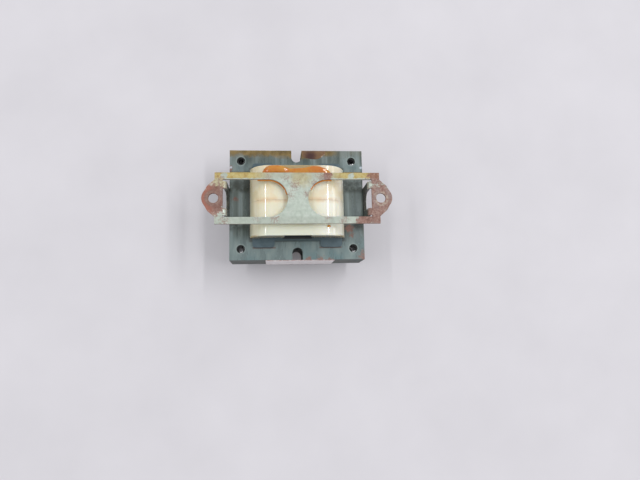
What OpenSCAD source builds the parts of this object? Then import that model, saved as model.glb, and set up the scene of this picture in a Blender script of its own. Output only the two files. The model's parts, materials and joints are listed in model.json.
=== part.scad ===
// Ignition coil of the open, laminated-core kind.
// An E-I core carries both windings on its centre leg, under a moulded cover in two halves,
// and a sheet steel bracket with two screw ears grips the core's sides.
// X runs along the core's long side, Y along the coil's axis, and Z up from the cover's underside.

/* [Core] */
// Lamination unit: the core is six units long and five wide
unit = 9.5; // [9.4:0.05:9.6]
// Height of the stack of laminations
stack_h = 16; // [15:0.5:17]
// Joint between the E and the I stacks
core_gap = 0.2; // [0.1:0.05:0.4]
// Diameter of the hole in each corner
corner_hole_d = 3.5; // [3.2:0.1:3.8]
// Width of the round-ended notch in each yoke
notch_w = 4.4; // [4:0.1:5]
// Depth of that notch
notch_depth = 5.2; // [4.5:0.1:6]
// Outside diameter of the tubular rivets
rivet_d = 3.3; // [3:0.1:3.4]
// Bore of the rivets
rivet_bore_d = 1.9; // [1.5:0.1:2.2]
// Distance that the rivets lie below the core's faces
rivet_recess = 0.45; // [0.2:0.05:1]
// Width of the plate on the front yoke
yoke_plate_w = 29.2; // [26:0.2:32]
// Distance of that plate's centre from the middle of the core
yoke_plate_shift = 1.1; // [-2:0.1:2]
// Thickness of that plate
yoke_plate_t = 0.3; // [0.2:0.1:0.9]

/* [Bracket] */
// Thickness of the steel sheet
sheet = 1.2; // [1:0.1:1.5]
// Height of the bracket's top face above the core
bracket_rise = 12.7; // [12.2:0.1:14]
// Length of the plate between its ears
plate_l = 66.7; // [66:0.1:68]
// Width of the plate
plate_w = 21; // [20:0.1:23]
// Distance between the centres of the two ear holes
ear_pitch = 67.7; // [67:0.1:69]
// Radius of the round end of each ear
ear_r = 4.65; // [4:0.05:5]
// Distance of the knee in each ear's outline from the middle of its hole
ear_knee_r = 5.6; // [5.2:0.1:6]
// Half width of each ear where it leaves the plate
ear_root = 7.6; // [7:0.1:8]
// Diameter of the ear holes
ear_hole_d = 4; // [3.5:0.1:4.5]
// Width of each D-shaped opening
opening_w = 15.4; // [15:0.1:16]
// Narrowest width of the web between the openings
web_w = 8.2; // [8:0.1:10]
// Width of the tongues bent down from the openings
leg_w = 13.9; // [13:0.1:14.8]
// Distance that the tongues reach below the core's top face
leg_reach = 13.4; // [11:0.1:14.5]
// Width of the round-ended relief slot in the middle of each tongue
relief_d = 8.2; // [6:0.1:9]
// Distance that the slot's end lies above the core's top face
relief_end = 0.9; // [0.5:0.1:6]
// Inside radius of the bends
bend_r = 0.4; // [0.3:0.1:0.8]

/* [Coil] */
// Height of the cover above and below the core
coil_rise = 9.4; // [9.3:0.05:9.6]
// Width of the cover where it stands clear of the core
cover_w = 40; // [39.6:0.1:40.6]
// Length of the cover along the coil's axis
cover_l = 29.4; // [29:0.1:30]
// Wall thickness of the cover's ends
cover_end = 0.8; // [0.6:0.1:1]
// Gap between the two halves of the cover
seam_w = 0.3; // [0.2:0.05:0.5]
// Width of the window in the front end
lead_window_w = 11.2; // [10:0.2:12]
// Rise of the cover's lower edge at the middle of its ends
end_arch = 3.4; // [2.6:0.1:4]

/* [Bobbin] */
// Wall thickness of the bobbin's tube
tube_wall = 0.9; // [0.7:0.05:0.95]
// Thickness of its flanges and feet
flange_t = 1; // [0.8:0.05:1]
// Width of the tabs that lie on the core
tab_w = 9.2; // [8.5:0.1:9.4]
// Reach of the front tabs from the middle of the core
tab_front = 18.5; // [18:0.1:20]
// Reach of the rear tabs
tab_rear = 17.7; // [17:0.1:20]
// Corner radius of the tabs
tab_corner = 1.3; // [0.8:0.1:2]

/* [Windings] */
// Length of the windings along the coil's axis
winding_l = 24; // [22:0.5:24.5]
// Layers of the primary winding
primary_layers = 2; // [1:1:2]
// Layers of the secondary winding
secondary_layers = 4; // [3:1:4]
// Thickness of the paper between the secondary's layers
paper_t = 0.12; // [0.1:0.01:0.15]

/* [Terminals] */
// Distance between the primary's two solder tags
tag_pitch = 10; // [8:0.5:10]
// Width of a solder tag
tag_w = 3; // [2.5:0.1:3.5]
// Outside diameter of the high-voltage socket
socket_d = 6.6; // [6:0.1:6.8]
// Bore of the high-voltage socket
socket_bore_d = 4.2; // [4:0.1:4.4]
// Diameter of the contact in that socket
contact_d = 1.8; // [1.5:0.1:2]

/* [Hidden] */
$fn = 64;

// Clearance between pieces that are only laid or slipped together
fit = 0.05;
// Extra length that a cutting shape runs past the face it cuts
past = 1;
// Overlap of two shapes that make up one piece
overlap = 0.01;

// Heights above the cover's underside
core_z = coil_rise;
axis_z = core_z + stack_h / 2;
face_z = core_z + stack_h;
plate_z = face_z + bracket_rise - sheet;

// Half sizes of the centre leg and of the window beside it
leg_x = unit;
leg_z = stack_h / 2;
window_x = 2 * unit;
window_y = 1.5 * unit;

// Build of the coil, counted outward from the surface of the centre leg
paper_sleeve = [0.03, 0.2];
tube = [0.25, 0.25 + tube_wall];
primary = [1.25, 2.9];
wrap = [2.95, 3.35];
secondary = [3.4, 7.74];
tape = [7.8, 8.2];
cover_inside = 8.35;
cover_outside = 9.35;
flange_build = 8.3;
layer_gap = 0.03;

// Cover
cover_corner = coil_rise - fit;
cover_half_l = cover_l / 2;
flange_y = cover_half_l - cover_end - fit;
window_top = coil_rise - 0.4;
window_sill = 1.2;

// Terminals
foot_z = core_z - fit - flange_t;
tag_t = 0.5;
primary_wire_d = 0.76;
fine_wire_d = 0.5;
socket_z = 4.2;
socket_l = 8.6;
contact_l = 5.4;
earth_x = -6;
lead_y = winding_l / 2 + 0.45;
lead_z = foot_z - tag_t - primary_wire_d / 2 - 0.02;

// ---- shapes that repeat ----

// Rectangle with round corners, drawn about its centre
module round_rect(half_w, half_h, r) {
    square([2 * half_w, 2 * (half_h - r)], center = true);
    square([2 * (half_w - r), 2 * half_h], center = true);
    for (x = [-1, 1], y = [-1, 1])
        translate([x * (half_w - r), y * (half_h - r)]) circle(r);
}

// Outline of the coil at a given build on the centre leg
module build_outline(build) {
    round_rect(leg_x + build, leg_z + build, build);
}

// Extrudes a cross-section of the coil along its axis, from y0 to y1
module along_coil(y0, y1) {
    translate([0, y1, axis_z])
        rotate([90, 0, 0])
            linear_extrude(y1 - y0) children();
}

// One layer of the coil, from an inner to an outer build
module sleeve(build, length) {
    along_coil(-length / 2, length / 2)
        difference() {
            build_outline(build[1]);
            build_outline(build[0]);
        }
}

// A piece that is the same above and below the core
module above_and_below() {
    for (side = [0, 1])
        translate([0, 0, axis_z])
            mirror([0, 0, side])
                translate([0, 0, -axis_z]) children();
}

// A round wire through a list of points
module wire(points, d) {
    for (i = [0 : len(points) - 2]) {
        step = points[i + 1] - points[i];
        reach = norm(step);
        translate(points[i])
            rotate([0, acos(step[2] / reach), atan2(step[1], step[0])])
                cylinder(h = reach, d = d);
    }
    for (i = [1 : 1 : len(points) - 2])
        translate(points[i]) sphere(d = d);
}

// ---- core ----

// Corner holes and yoke notches, cut through the whole stack
module core_cuts() {
    for (x = [-1, 1], y = [-1, 1])
        translate([x * 2.5 * unit, y * 2 * unit]) circle(d = corner_hole_d);
    for (side = [-1, 1]) {
        translate([0, side * (2.5 * unit - notch_depth + notch_w / 2)]) circle(d = notch_w);
        translate([0, side * (2.5 * unit - notch_depth / 2 + notch_w / 4 + past / 2)])
            square([notch_w, notch_depth - notch_w / 2 + past], center = true);
    }
}

module e_lamination_stack() {
    leg_end = window_y - core_gap;
    color("slategray")
        translate([0, 0, core_z])
            linear_extrude(stack_h)
                difference() {
                    translate([-3 * unit, -2.5 * unit]) square([6 * unit, 2.5 * unit + leg_end]);
                    for (side = [-1, 1])
                        translate([side * 1.5 * unit, past / 2])
                            square([unit, 2 * window_y + past], center = true);
                    core_cuts();
                }
}

module i_lamination_stack() {
    color("slategray")
        translate([0, 0, core_z])
            linear_extrude(stack_h)
                difference() {
                    translate([-3 * unit, window_y]) square([6 * unit, unit]);
                    core_cuts();
                }
}

module gap_shims() {
    shim_t = core_gap - fit;
    color("tan")
        translate([0, window_y - core_gap / 2, axis_z]) {
            cube([2 * unit - 1, shim_t, stack_h - 0.4], center = true);
            for (side = [-1, 1])
                translate([side * 2.5 * unit, 0, 0])
                    cube([unit - 0.6, shim_t, stack_h - 0.4], center = true);
        }
}

module core_rivets() {
    rivet_l = stack_h - 2 * rivet_recess;
    color("dimgray")
        for (x = [-1, 1], y = [-1, 1])
            translate([x * 2.5 * unit, y * 2 * unit, core_z + rivet_recess])
                difference() {
                    cylinder(h = rivet_l, d = rivet_d);
                    translate([0, 0, -past]) cylinder(h = rivet_l + 2 * past, d = rivet_bore_d);
                }
}

module yoke_plate() {
    color("silver")
        translate([yoke_plate_shift - yoke_plate_w / 2, -2.5 * unit - yoke_plate_t, core_z])
            cube([yoke_plate_w, yoke_plate_t - 0.02, stack_h]);
}

// ---- bracket ----

// Side of the core that the tongues lie against, and the line where their bends begin
leg_face_x = 3 * unit + fit;
bend_x = leg_face_x + bend_r + sheet;
bend_z = plate_z - bend_r;

// A point at a distance and an angle from the middle of an ear's hole
function from_hole(distance, angle) = distance * [cos(angle), sin(angle)];

// Round end, and flanks that run from the plate through a knee and into it
module ear_outline() {
    knee_angle = 65;
    root = [plate_l / 2 - ear_pitch / 2, ear_root];
    flank = [root - [past, 0],
             root,
             from_hole(ear_knee_r, knee_angle),
             from_hole(ear_r - 0.1, knee_angle - acos(ear_r / ear_knee_r))];
    mirrored = [for (i = [len(flank) - 1 : -1 : 0]) [flank[i][0], -flank[i][1]]];
    translate([ear_pitch / 2, 0]) {
        circle(ear_r);
        polygon(concat(flank, mirrored));
    }
}

// D-shaped opening, round end towards the web
module opening_outline() {
    round_x = web_w / 2 + opening_w / 2;
    translate([round_x, 0]) circle(d = opening_w);
    translate([round_x, -opening_w / 2]) square([bend_x - round_x, opening_w]);
}

module bracket_plate() {
    translate([0, 0, plate_z])
        linear_extrude(sheet)
            for (side = [0, 1])
                mirror([side, 0])
                    difference() {
                        union() {
                            translate([0, -plate_w / 2]) square([plate_l / 2, plate_w]);
                            ear_outline();
                        }
                        opening_outline();
                        translate([ear_pitch / 2, 0]) circle(d = ear_hole_d);
                    }
}

// Side view of a tongue: a quarter bend and the straight run below it
module leg_profile(tip_z) {
    difference() {
        translate([bend_x, bend_z]) circle(bend_r + sheet);
        translate([bend_x, bend_z]) circle(bend_r);
        translate([bend_x, bend_z - 2 * sheet]) square(4 * sheet);
        translate([leg_face_x - past, bend_z - 3 * sheet]) square([4 * sheet, 3 * sheet]);
    }
    translate([leg_face_x, tip_z]) square([sheet, bend_z - tip_z]);
}

module bracket_leg() {
    tip_z = face_z - leg_reach;
    relief_z = face_z + relief_end + relief_d / 2;
    difference() {
        translate([0, leg_w / 2, 0]) rotate([90, 0, 0]) linear_extrude(leg_w) leg_profile(tip_z);
        // round end
        translate([leg_face_x - past, 0, 0])
            rotate([90, 0, 90])
                linear_extrude(sheet + 2 * past)
                    difference() {
                        translate([-leg_w, tip_z - past]) square([2 * leg_w, leg_w / 2 + past]);
                        translate([0, tip_z + leg_w / 2]) circle(d = leg_w);
                    }
        // relief slot, open through the bend
        translate([leg_face_x - past, 0, relief_z])
            rotate([0, 90, 0]) cylinder(h = 4 * sheet, d = relief_d);
        translate([leg_face_x - past, -relief_d / 2, relief_z])
            cube([past + bend_x - leg_face_x, relief_d, plate_z + sheet + past - relief_z]);
    }
}

module mounting_bracket() {
    color("darkseagreen") {
        bracket_plate();
        for (side = [0, 1])
            mirror([side, 0, 0]) bracket_leg();
    }
}

// ---- bobbin and windings ----

module leg_insulation() {
    color("burlywood") sleeve(paper_sleeve, 2 * window_y - 0.5);
}

// Foot that lies on the core, with the two tabs that hold the bobbin square to it
module bobbin_foot(tab_y) {
    foot_y = cover_half_l + 1;
    translate([0, 0, face_z + fit])
        linear_extrude(flange_t) {
            translate([-window_x + 0.1, flange_y - flange_t])
                square([2 * window_x - 0.2, foot_y - flange_y + flange_t]);
            for (side = [-1, 1])
                translate([side * 1.5 * unit, tab_y / 2]) round_rect(tab_w / 2, tab_y / 2, tab_corner);
        }
}

// The end of the bobbin that faces +Y, with its feet above and below the core
module bobbin_end(tab_y) {
    along_coil(flange_y - flange_t, flange_y) build_outline(flange_build);
    above_and_below()
        difference() {
            bobbin_foot(tab_y);
            translate([-window_x, flange_y - flange_t - tab_y, face_z])
                cube([2 * window_x, tab_y, 2 * flange_t]);
        }
}

module bobbin() {
    color("darkslateblue")
        difference() {
            union() {
                along_coil(-flange_y, flange_y) build_outline(tube[1]);
                bobbin_end(tab_rear);
                mirror([0, 1, 0]) bobbin_end(tab_front);
            }
            along_coil(-flange_y - past, flange_y + past) build_outline(tube[0]);
            // lead slots in the front flange
            above_and_below()
                translate([-lead_window_w / 2 + 0.4, -flange_y - past, face_z + window_sill + 0.6])
                    cube([lead_window_w - 0.8, flange_t + 2 * past, coil_rise]);
            // holes for the contact and the earth lead in the rear flange
            translate([0, flange_y + past, socket_z])
                rotate([90, 0, 0]) cylinder(h = flange_t + 2 * past, d = contact_d + 0.2);
            translate([earth_x, flange_y + past, lead_z])
                rotate([90, 0, 0]) cylinder(h = flange_t + 2 * past, d = fine_wire_d + 0.2);
        }
}

// Concentric layers that share a build, with a gap of at least the paper between them
module layers(build, count, gap) {
    pitch = (build[1] - build[0] + gap) / count;
    for (i = [0 : count - 1])
        sleeve([build[0] + i * pitch, build[0] + (i + 1) * pitch - gap], winding_l);
}

module primary_winding() {
    color("chocolate") layers(primary, primary_layers, fit);
}

module primary_wrap() {
    color("khaki") sleeve(wrap, winding_l + 0.2);
}

module secondary_winding() {
    color("sienna") layers(secondary, secondary_layers, paper_t + 2 * layer_gap);
}

module layer_papers() {
    gap = paper_t + 2 * layer_gap;
    pitch = (secondary[1] - secondary[0] + gap) / secondary_layers;
    color("wheat")
        for (i = [1 : secondary_layers - 1]) {
            inner = secondary[0] + i * pitch - gap + layer_gap;
            sleeve([inner, inner + paper_t], winding_l + 0.2);
        }
}

module outer_wrap() {
    color("darkkhaki") sleeve(tape, 2 * (flange_y - flange_t) - 0.1);
}

// ---- cover ----

// Part of the cover that stands above the core
module bulge_outline() {
    corner_x = cover_w / 2 - cover_corner;
    intersection() {
        union() {
            for (side = [-1, 1])
                translate([side * corner_x, leg_z + fit]) circle(cover_corner);
            translate([-corner_x, 0]) square([2 * corner_x, leg_z + fit + cover_corner]);
        }
        translate([-cover_w, leg_z + fit]) square([2 * cover_w, 2 * coil_rise]);
    }
}

// Part of the cover that lies in the core's windows
module window_wall_outline() {
    square([2 * (leg_x + cover_outside), stack_h + 2 * fit + overlap], center = true);
}

// The cover's ends are open in front of the bobbin's feet, under a shallow arch
module arch_outline() {
    half = window_x - 0.05;
    side_h = fit + flange_t + fit;
    rise = end_arch - side_h;
    arch_r = (half * half + rise * rise) / (2 * rise);
    intersection() {
        translate([0, leg_z + end_arch - arch_r]) circle(arch_r, $fn = 96);
        translate([-half, 0]) square([2 * half, leg_z + end_arch + past]);
    }
    translate([-half, 0]) square([2 * half, leg_z + side_h]);
}

// The half of the cover that faces +Y
module cover_half() {
    y0 = seam_w / 2;
    difference() {
        union() {
            along_coil(y0, window_y - 0.1) window_wall_outline();
            above_and_below() along_coil(y0, cover_half_l) bulge_outline();
        }
        along_coil(y0 - past, cover_half_l - cover_end) build_outline(cover_inside);
        above_and_below() along_coil(flange_y - flange_t, cover_half_l + past) arch_outline();
    }
}

module coil_cover_front() {
    color("cornsilk")
        difference() {
            mirror([0, 1, 0]) cover_half();
            above_and_below()
                translate([-lead_window_w / 2, -cover_half_l - past, face_z + window_sill])
                    cube([lead_window_w, cover_end + 1.5 * past, window_top - window_sill]);
        }
}

module coil_cover_rear() {
    color("cornsilk")
        difference() {
            cover_half();
            translate([0, cover_half_l + past, socket_z])
                rotate([90, 0, 0]) cylinder(h = cover_end + 1.5 * past, d = socket_d + 0.2);
        }
}

// Adhesive that fills the joint between the two halves, flush with the cover
module seam_adhesive() {
    half = seam_w / 2 - 0.02;
    color("wheat")
        difference() {
            union() {
                along_coil(-half, half) window_wall_outline();
                above_and_below() along_coil(-half, half) bulge_outline();
            }
            along_coil(-past, past) build_outline(cover_inside);
        }
}

module varnish_bead() {
    bead_r = 3.2;
    bead_y = cover_half_l - 2.2;
    color("darkorange")
        difference() {
            translate([-13.6, bead_y, face_z + coil_rise - bead_r + 1])
                rotate([0, 90, 0]) cylinder(h = 27.2, r = bead_r);
            translate([-cover_w, bead_y - 2 * bead_r, face_z + coil_rise - 4 * bead_r])
                cube([2 * cover_w, 4 * bead_r, 4 * bead_r]);
            for (side = [-1, 1])
                translate([side * 14.1, bead_y, face_z + coil_rise])
                    cylinder(h = 2 * bead_r, d = 1.2);
        }
}

// ---- terminals ----

module solder_tag(length) {
    difference() {
        union() {
            translate([-tag_w / 2, -length / 2, 0]) cube([tag_w, length, tag_t]);
            translate([0, -length / 2, 0]) cylinder(h = tag_t, d = tag_w);
        }
        translate([0, -length / 2, -past]) cylinder(h = tag_t + 2 * past, d = tag_w / 2);
    }
}

module primary_tags() {
    color("goldenrod")
        for (side = [-1, 1])
            translate([side * tag_pitch / 2, -cover_half_l - 2.2, foot_z - tag_t]) solder_tag(5);
}

module primary_leads() {
    color("peru")
        for (side = [-1, 1])
            wire([[side * tag_pitch / 2, -winding_l / 2, lead_z],
                  [side * tag_pitch / 2, -cover_half_l - 2.2, lead_z]], primary_wire_d);
}

module high_voltage_socket() {
    color("saddlebrown")
        translate([0, flange_y, socket_z])
            rotate([-90, 0, 0])
                difference() {
                    cylinder(h = socket_l, d = socket_d);
                    translate([0, 0, 1]) cylinder(h = socket_l, d = socket_bore_d);
                    translate([0, 0, -past]) cylinder(h = socket_l, d = contact_d + 0.04);
                }
}

module high_voltage_contact() {
    color("gold")
        translate([0, flange_y - flange_t, socket_z])
            rotate([-90, 0, 0]) {
                cylinder(h = contact_l, d = contact_d);
                translate([0, 0, contact_l]) sphere(d = contact_d);
            }
}

module high_voltage_lead() {
    outer_layer_z = axis_z - leg_z - secondary[1] + fine_wire_d;
    color("peru")
        wire([[0, lead_y - 0.4, outer_layer_z],
              [0, lead_y, outer_layer_z],
              [0, lead_y, socket_z],
              [0, flange_y - flange_t, socket_z]], fine_wire_d);
}

module earth_lead() {
    inner_layer_z = axis_z - leg_z - secondary[0] - fine_wire_d;
    color("peru")
        wire([[earth_x, lead_y - 0.4, inner_layer_z],
              [earth_x, lead_y, inner_layer_z],
              [earth_x, lead_y, lead_z],
              [earth_x, cover_half_l + 3.5, lead_z],
              [earth_x, cover_half_l + 3.5, core_z - 0.6]], fine_wire_d);
}

module earth_tag() {
    color("silver")
        translate([earth_x, cover_half_l + 4.4, core_z - tag_t]) mirror([0, 1, 0]) solder_tag(5);
}

mounting_bracket();
e_lamination_stack();
i_lamination_stack();
gap_shims();
core_rivets();
yoke_plate();
leg_insulation();
bobbin();
primary_winding();
primary_wrap();
secondary_winding();
layer_papers();
outer_wrap();
coil_cover_front();
coil_cover_rear();
seam_adhesive();
primary_tags();
primary_leads();
high_voltage_socket();
high_voltage_contact();
high_voltage_lead();
earth_lead();
earth_tag();
varnish_bead();
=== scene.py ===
# %% [markdown]
# # Ignition coil
# A small ignition coil of the open kind: a pile of E and I shaped steel sheets carries both windings
# on its middle leg, a cream moulded cover closes the windings, and a zinc-coated sheet bracket with
# two screw ears grips the pile's sides. The CAD model gives every piece its size and place. This file
# gives each piece the surface, the edges and the age that the real one has.

# %% Load the frame
import json
import math
import random

import bmesh
import bpy
from mathutils import Euler, Matrix, Vector


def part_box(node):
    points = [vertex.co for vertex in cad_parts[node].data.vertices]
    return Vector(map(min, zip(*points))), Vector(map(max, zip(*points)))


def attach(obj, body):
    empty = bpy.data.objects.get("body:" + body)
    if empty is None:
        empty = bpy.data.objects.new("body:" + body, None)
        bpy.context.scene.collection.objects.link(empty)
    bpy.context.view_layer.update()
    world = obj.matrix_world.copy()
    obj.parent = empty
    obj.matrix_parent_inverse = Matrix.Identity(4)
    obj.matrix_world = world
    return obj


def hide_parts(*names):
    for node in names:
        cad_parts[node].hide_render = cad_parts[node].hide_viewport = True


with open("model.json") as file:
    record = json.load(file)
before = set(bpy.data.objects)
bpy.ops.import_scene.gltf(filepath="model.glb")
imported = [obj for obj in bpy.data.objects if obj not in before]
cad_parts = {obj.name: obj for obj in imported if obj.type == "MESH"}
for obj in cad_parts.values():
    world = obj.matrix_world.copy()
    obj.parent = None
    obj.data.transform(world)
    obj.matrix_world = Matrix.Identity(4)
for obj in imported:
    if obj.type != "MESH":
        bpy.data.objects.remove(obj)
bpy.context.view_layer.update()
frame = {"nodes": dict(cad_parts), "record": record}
MM = 0.001

# %% [markdown]
# ## Camera
# The coil is seen from almost straight above, from a little in front of it. The camera's place and
# its turn are stated in the frame, and the lens is a wide one held close, which shows a little of
# the core's front side and of the tongues. The plain view transform keeps a paint's tone as it is,
# where the filmic one would wash out the rust and the varnish.

# %% Camera
CAMERA_AT = Vector((-8.9, -47.0, 245.9)) * MM
CAMERA_TURN = Euler([math.radians(a) for a in (8.22, -4.63, -1.10)])

lens = bpy.data.cameras.new("camera")
lens.lens = 29.64
lens.sensor_width = 36
lens.clip_start = 0.01
camera = bpy.data.objects.new("camera", lens)
camera.location = CAMERA_AT
camera.rotation_euler = CAMERA_TURN
bpy.context.scene.collection.objects.link(camera)
bpy.context.scene.camera = camera
bpy.context.scene.view_settings.view_transform = "Standard"
print("camera", [round(v / MM, 1) for v in camera.location], "mm, lens", lens.lens)

# %% [markdown]
# ## Floor and light
# A plain pale floor, and two long ceiling tubes parallel to the coil's axis. The round shoulders of
# the cover show each tube as a thin bright line, which is what tells the eye that they are glossy.
# The sky is a dim even grey that fills the shadows.

# %% Floor and light
FLOOR_HALF = 1.5


def strip_light(name, place, length, width, power):
    """A long thin area light, parallel to Y, that is turned about its length to face the coil."""
    data = bpy.data.lights.new(name, "AREA")
    data.shape = "RECTANGLE"
    data.size = width
    data.size_y = length
    data.energy = power
    lamp = bpy.data.objects.new(name, data)
    lamp.location = place
    lamp.rotation_euler.y = math.atan2(place[0], place[2])
    bpy.context.scene.collection.objects.link(lamp)
    return lamp


strip_light("tube_left", (-0.93, 0.30, 1.45), 1.5, 0.06, 6.0)
strip_light("tube_right", (0.75, 0.33, 1.45), 1.5, 0.08, 10.2)
strip_light("window", (2.2, 0.9, 1.3), 1.5, 0.6, 3.8)

sky = bpy.data.worlds.new("sky")
sky.use_nodes = True
sky.node_tree.nodes["Background"].inputs["Color"].default_value = (0.97, 0.97, 1.0, 1)
sky.node_tree.nodes["Background"].inputs["Strength"].default_value = 0.68
bpy.context.scene.world = sky

bm = bmesh.new()
bmesh.ops.create_grid(bm, x_segments=1, y_segments=1, size=FLOOR_HALF)
floor_mesh = bpy.data.meshes.new("floor")
bm.to_mesh(floor_mesh)
bm.free()
floor = bpy.data.objects.new("floor", floor_mesh)
floor.location.z = -0.02 * MM
bpy.context.scene.collection.objects.link(floor)

# %% [markdown]
# ## Tools for finishes
# Every finish is a node tree on Object coordinates, so that a pattern keeps its real scale: a grain
# of one millimetre has a noise scale of 1000. A few short functions add the nodes: a noise, a ramp,
# a mix of two colours, a fade between two places, and a ragged patch or a spread of freckles at a
# place, which is how rust and varnish are put where they are on the coil.

# %% Tools for finishes
PER_MM = 1 / MM


def tone(red, green, blue):
    """A colour as a paint card gives it, 0 to 255, as the linear values that a shader takes."""
    parts = [v / 255 for v in (red, green, blue)]
    return [v / 12.92 if v < 0.04045 else ((v + 0.055) / 1.055) ** 2.4 for v in parts] + [1.0]


def new_finish(name, roughness, metallic=0.0, coat=0.0):
    """A material with its shader, ready for nodes. Returns the material, its tree and its shader."""
    material = bpy.data.materials.new(name)
    material.use_nodes = True
    tree = material.node_tree
    shader = tree.nodes["Principled BSDF"]
    shader.inputs["Roughness"].default_value = roughness
    shader.inputs["Metallic"].default_value = metallic
    shader.inputs["Coat Weight"].default_value = coat
    shader.inputs["Coat Roughness"].default_value = 0.12
    return material, tree, shader


def put(tree, socket, value):
    """Links a node's output to a socket, or sets the socket to a fixed value."""
    if isinstance(value, bpy.types.NodeSocket):
        tree.links.new(value, socket)
    else:
        socket.default_value = value


def places(tree, stretch=(1, 1, 1)):
    """Object coordinates, squeezed along an axis to draw a pattern out along it."""
    where = tree.nodes.new("ShaderNodeTexCoord").outputs["Object"]
    if stretch == (1, 1, 1):
        return where
    mapping = tree.nodes.new("ShaderNodeMapping")
    mapping.inputs["Scale"].default_value = stretch
    tree.links.new(where, mapping.inputs["Vector"])
    return mapping.outputs["Vector"]


def noise(tree, grain_mm, detail=4, rough=0.55, stretch=(1, 1, 1), seed=0.0, warp=0.0):
    """Cloudy noise from 0 to 1 whose patches are about grain_mm across."""
    made = tree.nodes.new("ShaderNodeTexNoise")
    made.noise_dimensions = "4D"
    made.inputs["Scale"].default_value = PER_MM / grain_mm
    made.inputs["Detail"].default_value = detail
    made.inputs["Roughness"].default_value = rough
    made.inputs["Distortion"].default_value = warp
    made.inputs["W"].default_value = seed
    tree.links.new(places(tree, stretch), made.inputs["Vector"])
    return made.outputs["Fac"]


def ramp(tree, value, *stops):
    """A colour ramp. Each stop is (place, colour or grey level)."""
    made = tree.nodes.new("ShaderNodeValToRGB")
    scale = made.color_ramp
    while len(scale.elements) < len(stops):
        scale.elements.new(0.5)
    for element, (place, colour) in zip(scale.elements, stops):
        element.position = place
        element.color = colour if isinstance(colour, (list, tuple)) else (colour, colour, colour, 1)
    tree.links.new(value, made.inputs["Fac"])
    return made.outputs["Color"]


def maths(tree, operation, first, second=0.0, clamp=True):
    """One sum on two values. It is held between 0 and 1, unless it is a length in mm."""
    made = tree.nodes.new("ShaderNodeMath")
    made.operation = operation
    made.use_clamp = clamp
    put(tree, made.inputs[0], first)
    put(tree, made.inputs[1], second)
    return made.outputs[0]


def times(tree, first, *others):
    """Several shares, each from 0 to 1, multiplied together."""
    for other in others:
        first = maths(tree, "MULTIPLY", first, other)
    return first


def either(tree, first, *others):
    """The largest of several shares."""
    for other in others:
        first = maths(tree, "MAXIMUM", first, other)
    return first


def mix(tree, share, under, over):
    """Colour under where share is 0, over where it is 1."""
    made = tree.nodes.new("ShaderNodeMix")
    made.data_type = "RGBA"
    for socket, value in zip((made.inputs[0], made.inputs[6], made.inputs[7]), (share, under, over)):
        put(tree, socket, value)
    return made.outputs[2]


def tint(tree, under, where, strength, over):
    """Colour under, with over laid on it at part strength where the share where says."""
    return mix(tree, times(tree, where, strength), under, over)


def mix_values(tree, share, under, over):
    """Value under where share is 0, over where it is 1."""
    made = tree.nodes.new("ShaderNodeMix")
    for socket, value in zip((made.inputs[0], made.inputs[2], made.inputs[3]), (share, under, over)):
        put(tree, socket, value)
    return made.outputs[0]


def grade(tree, value, start, end):
    """0 at start and 1 at end, eased in between. start may be the larger of the two."""
    made = tree.nodes.new("ShaderNodeMapRange")
    made.interpolation_type = "SMOOTHSTEP"
    put(tree, made.inputs["Value"], value)
    made.inputs["From Min"].default_value = min(start, end)
    made.inputs["From Max"].default_value = max(start, end)
    made.inputs["To Min"].default_value = float(start > end)
    made.inputs["To Max"].default_value = float(start < end)
    return made.outputs["Result"]


def along(tree, axis):
    """The distance along X, Y or Z, in mm."""
    split = tree.nodes.new("ShaderNodeSeparateXYZ")
    tree.links.new(places(tree), split.inputs[0])
    return maths(tree, "MULTIPLY", split.outputs[axis], PER_MM, clamp=False)


def across(tree, axis):
    """The distance from the middle plane across an axis, in mm, the same on both sides."""
    return maths(tree, "ABSOLUTE", along(tree, axis), clamp=False)


def fade_along(tree, axis, start, end):
    """A grade between two places along an axis, in mm."""
    return grade(tree, along(tree, axis), start, end)


def fade_across(tree, axis, start, end):
    """A grade between two distances from the middle plane, the same on both sides."""
    return grade(tree, across(tree, axis), start, end)


def distance_from(tree, centre_mm, flat=False):
    """Distance from a point, in mm. With flat, only X and Y count."""
    made = tree.nodes.new("ShaderNodeVectorMath")
    made.operation = "DISTANCE"
    tree.links.new(places(tree, (PER_MM, PER_MM, 0 if flat else PER_MM)), made.inputs[0])
    made.inputs[1].default_value = (centre_mm[0], centre_mm[1], 0 if flat else centre_mm[2])
    return made.outputs["Value"]


def patch(tree, centre_mm, radius, ragged=1.2, soft=0.25, seed=0.0):
    """A patch with a ragged edge: 1 inside, 0 outside."""
    share = maths(tree, "DIVIDE", distance_from(tree, centre_mm), radius, clamp=False)
    drift = noise(tree, max(0.8, 0.8 * radius), 6, 0.65, seed=seed)
    push = maths(tree, "MULTIPLY", drift, 2 * ragged, clamp=False)
    total = maths(tree, "ADD", share, push, clamp=False)
    return grade(tree, total, 1 + ragged + soft, 1 + ragged - soft)


def spread(tree, spots, z_mm, grain_mm, seed, strength):
    """Rust that has spread from spots of (x, y, reach): whole near each spot, freckles further out."""
    near = [grade(tree, distance_from(tree, (x, y, z_mm)), reach, 0.0) for x, y, reach in spots]
    raised = times(tree, either(tree, *near), strength)
    total = maths(tree, "ADD", raised, noise(tree, grain_mm, 7, 0.72, seed=seed))
    return grade(tree, total, 0.6, 0.74)


def bump(tree, shader, height, depth_mm, strength=1.0):
    """Raises and sinks the surface by up to depth_mm."""
    made = tree.nodes.new("ShaderNodeBump")
    made.inputs["Strength"].default_value = strength
    made.inputs["Distance"].default_value = depth_mm * MM
    tree.links.new(height, made.inputs["Height"])
    tree.links.new(made.outputs["Normal"], shader.inputs["Normal"])


print("a grain of 1 mm has a noise scale of", PER_MM)

# %% [markdown]
# ## Finish of the floor
# A pale grey card. It has a faint cloud so that it isn't a dead flat tone.

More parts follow.
